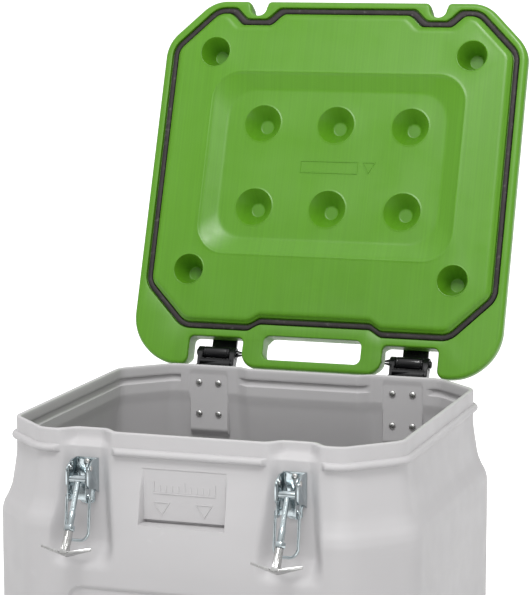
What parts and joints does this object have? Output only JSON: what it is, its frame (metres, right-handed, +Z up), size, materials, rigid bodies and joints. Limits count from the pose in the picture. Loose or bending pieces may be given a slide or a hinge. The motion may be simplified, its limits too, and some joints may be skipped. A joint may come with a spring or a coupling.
{
  "type": "lidded salvage container",
  "caption": "Square-plan plastic salvage container with cut corners, a hinged lid held open, a lid gasket, swing T-bolt toggle latches and fork channels.",
  "frame": {"origin": "middle of the base, on the ground, under the tub's centre", "axes": "+X to the right seen from the latches, +Y from the latches to the hinges, +Z up"},
  "size_m": [0.6, 0.8495, 1.2644],
  "materials": {
    "tub_plastic": "moulded, satin",
    "lid_plastic": "moulded, satin, faintly streaked",
    "gasket_rubber": "matte",
    "hinge_plastic": "satin black",
    "zinc_steel": "bright zinc plated",
    "bright_steel": "plain, bright"
  },
  "bodies": {
    "tub": {"tub": "tub_plastic", "hinge_body_leaf_left": "hinge_plastic", "hinge_pin_left": "hinge_plastic", "hinge_rivet_left_1": "bright_steel", "hinge_rivet_left_2": "bright_steel", "hinge_rivet_left_3": "bright_steel", "hinge_rivet_left_4": "bright_steel", "latch_base_left": "zinc_steel", "latch_rivet_left_1": "bright_steel", "latch_rivet_left_2": "bright_steel", "lever_rivet_left_1": "bright_steel", "lever_rivet_left_2": "bright_steel", "hinge_body_leaf_right": "hinge_plastic", "hinge_pin_right": "hinge_plastic", "hinge_rivet_right_1": "bright_steel", "hinge_rivet_right_2": "bright_steel", "hinge_rivet_right_3": "bright_steel", "hinge_rivet_right_4": "bright_steel", "latch_base_right": "zinc_steel", "latch_rivet_right_1": "bright_steel", "latch_rivet_right_2": "bright_steel", "lever_rivet_right_1": "bright_steel", "lever_rivet_right_2": "bright_steel"},
    "lid": {"lid_shell": "lid_plastic", "lid_gasket": "gasket_rubber", "lid_vent_plug": "lid_plastic", "hinge_lid_leaf_left": "hinge_plastic", "lid_screw_left_1": "bright_steel", "lid_screw_left_2": "bright_steel", "lid_screw_left_3": "bright_steel", "lid_screw_left_4": "bright_steel", "hinge_lid_leaf_right": "hinge_plastic", "lid_screw_right_1": "bright_steel", "lid_screw_right_2": "bright_steel", "lid_screw_right_3": "bright_steel", "lid_screw_right_4": "bright_steel"},
    "lever_left": {"latch_lever_left": "zinc_steel", "latch_bail_left": "zinc_steel"},
    "lever_right": {"latch_lever_right": "zinc_steel", "latch_bail_right": "zinc_steel"},
    "t_bolt_left": {"latch_trunnion_left": "zinc_steel", "t_bolt_rod_left": "zinc_steel", "t_bolt_nut_left": "zinc_steel", "t_bolt_hook_left": "zinc_steel"},
    "t_bolt_right": {"latch_trunnion_right": "zinc_steel", "t_bolt_rod_right": "zinc_steel", "t_bolt_nut_right": "zinc_steel", "t_bolt_hook_right": "zinc_steel"}
  },
  "joints": [
    {"name": "lid_hinge", "type": "hinge", "parent": "tub", "child": "lid", "pos_m": [0, 0.294, 0.732], "axis": [1, 0, 0], "range_deg": [0, 110.3]},
    {"name": "lever_left_pivot", "type": "hinge", "parent": "tub", "child": "lever_left", "pos_m": [-0.146, -0.279, 0.6735], "axis": [1, 0, 0], "range_deg": [-130, 0]},
    {"name": "t_bolt_left_swing", "type": "hinge", "parent": "lever_left", "child": "t_bolt_left", "pos_m": [-0.146, -0.283, 0.6588], "axis": [-1, 0, 0], "range_deg": [0, 166]},
    {"name": "lever_right_pivot", "type": "hinge", "parent": "tub", "child": "lever_right", "pos_m": [0.146, -0.279, 0.6735], "axis": [1, 0, 0], "range_deg": [-130, 0]},
    {"name": "t_bolt_right_swing", "type": "hinge", "parent": "lever_right", "child": "t_bolt_right", "pos_m": [0.146, -0.283, 0.6588], "axis": [-1, 0, 0], "range_deg": [0, 166]}
  ]
}
